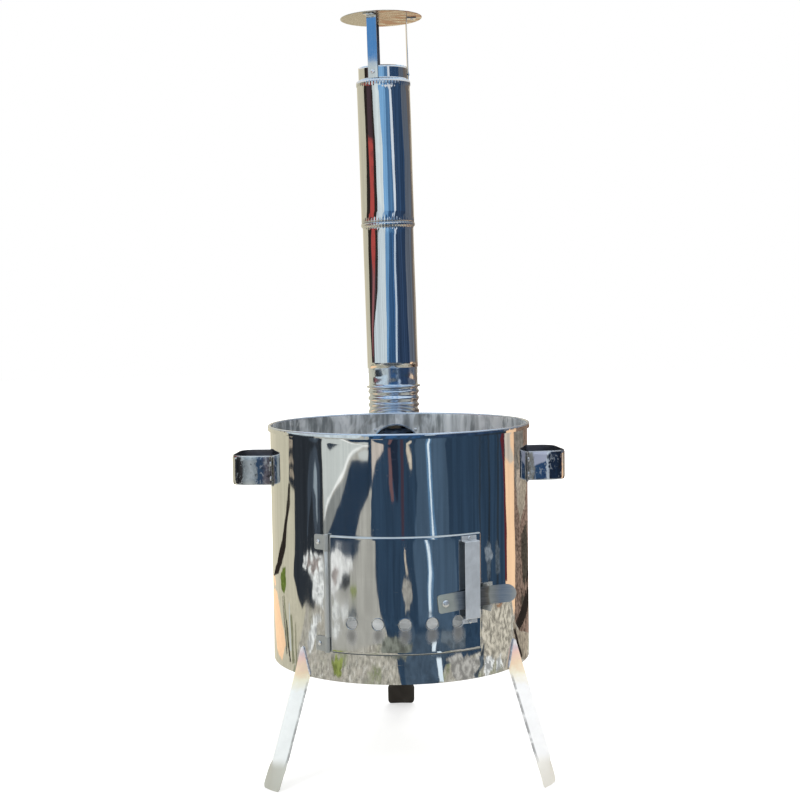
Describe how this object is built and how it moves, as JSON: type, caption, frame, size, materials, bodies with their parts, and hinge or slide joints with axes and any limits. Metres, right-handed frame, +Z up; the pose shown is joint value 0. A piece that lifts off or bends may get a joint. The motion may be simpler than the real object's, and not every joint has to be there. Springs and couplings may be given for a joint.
{
  "type": "cauldron stove",
  "caption": "Open sheet-metal drum stove for hanging a cauldron, on three splayed legs, with a latched firebox door, strap handles and a rear flue with a rain cap.",
  "frame": {"origin": "on the ground, below the middle of the whole stove", "axes": "+Z up; the firebox door faces -Y and the flue stands at +Y; +X towards the latch side"},
  "size_m": [0.5844, 0.649, 1.3563],
  "materials": {
    "drum_steel": "bright rolled stainless sheet, mirror polished",
    "flue_steel": "bright thin stainless tube, slightly dented",
    "leg_steel": "bright stainless strip",
    "fitting_steel": "plain stainless sheet, satin",
    "cap_steel": "plain stainless sheet, light heat tint",
    "rivet_steel": "plain stainless rivets",
    "grate_steel": "dark steel plate"
  },
  "bodies": {
    "stove": {"drum_wall": "drum_steel", "floor_pan": "fitting_steel", "grate_bracket_left": "fitting_steel", "grate_bracket_right": "fitting_steel", "grate_bracket_back": "fitting_steel", "hinge_leaf_lower": "fitting_steel", "hinge_leaf_upper": "fitting_steel", "hinge_pin": "rivet_steel", "hinge_rivet_lower": "rivet_steel", "hinge_rivet_upper": "rivet_steel", "latch_keeper": "fitting_steel", "keeper_rivet": "rivet_steel", "handle_left": "drum_steel", "handle_right": "drum_steel", "handle_rivet_left_a_lower": "rivet_steel", "handle_rivet_left_a_upper": "rivet_steel", "handle_rivet_left_b_lower": "rivet_steel", "handle_rivet_left_b_upper": "rivet_steel", "handle_rivet_right_a_lower": "rivet_steel", "handle_rivet_right_a_upper": "rivet_steel", "handle_rivet_right_b_lower": "rivet_steel", "handle_rivet_right_b_upper": "rivet_steel", "leg_front_left": "leg_steel", "leg_front_right": "leg_steel", "leg_back": "leg_steel", "flue_stub": "flue_steel", "flange_rivet_1": "rivet_steel", "flange_rivet_2": "rivet_steel", "flange_rivet_3": "rivet_steel", "flange_rivet_4": "rivet_steel"},
    "door": {"door_panel": "drum_steel", "latch_bridge": "fitting_steel", "bridge_rivet_lower": "rivet_steel", "bridge_rivet_upper": "rivet_steel", "latch_pivot": "rivet_steel"},
    "latch": {"latch_bar": "fitting_steel"},
    "grate": {"fire_grate": "grate_steel"},
    "elbow": {"flue_elbow": "flue_steel"},
    "lower_pipe": {"lower_pipe": "flue_steel"},
    "upper_pipe": {"upper_pipe": "flue_steel", "cap_disc": "cap_steel", "cap_strap_front": "cap_steel", "cap_strap_right": "cap_steel", "cap_strap_back": "cap_steel", "cap_rivet_low_front": "rivet_steel", "cap_rivet_low_right": "rivet_steel", "cap_rivet_low_back": "rivet_steel", "cap_rivet_top_front": "rivet_steel", "cap_rivet_top_right": "rivet_steel", "cap_rivet_top_back": "rivet_steel"}
  },
  "joints": [
    {"name": "door_hinge", "type": "hinge", "parent": "stove", "child": "door", "pos_m": [-0.12656, -0.28743, 0.3247], "axis": [0, 0, -1], "range_deg": [0, 120]},
    {"name": "latch_turn", "type": "hinge", "parent": "door", "child": "latch", "pos_m": [0.06589, -0.31513, 0.3085], "axis": [0.2874, -0.9578, 0], "range_deg": [0, 28]},
    {"name": "grate_lift", "type": "slide", "parent": "stove", "child": "grate", "axis": [0, 0, 1], "range_m": [0, 0.4]},
    {"name": "elbow_pull", "type": "slide", "parent": "stove", "child": "elbow", "axis": [0, 1, 0], "range_m": [0, 0.06]},
    {"name": "lower_pipe_lift", "type": "slide", "parent": "elbow", "child": "lower_pipe", "axis": [-0.0192, 0, 0.9998], "range_m": [0, 0.06]},
    {"name": "upper_pipe_lift", "type": "slide", "parent": "lower_pipe", "child": "upper_pipe", "axis": [-0.0192, 0, 0.9998], "range_m": [0, 0.06]}
  ]
}
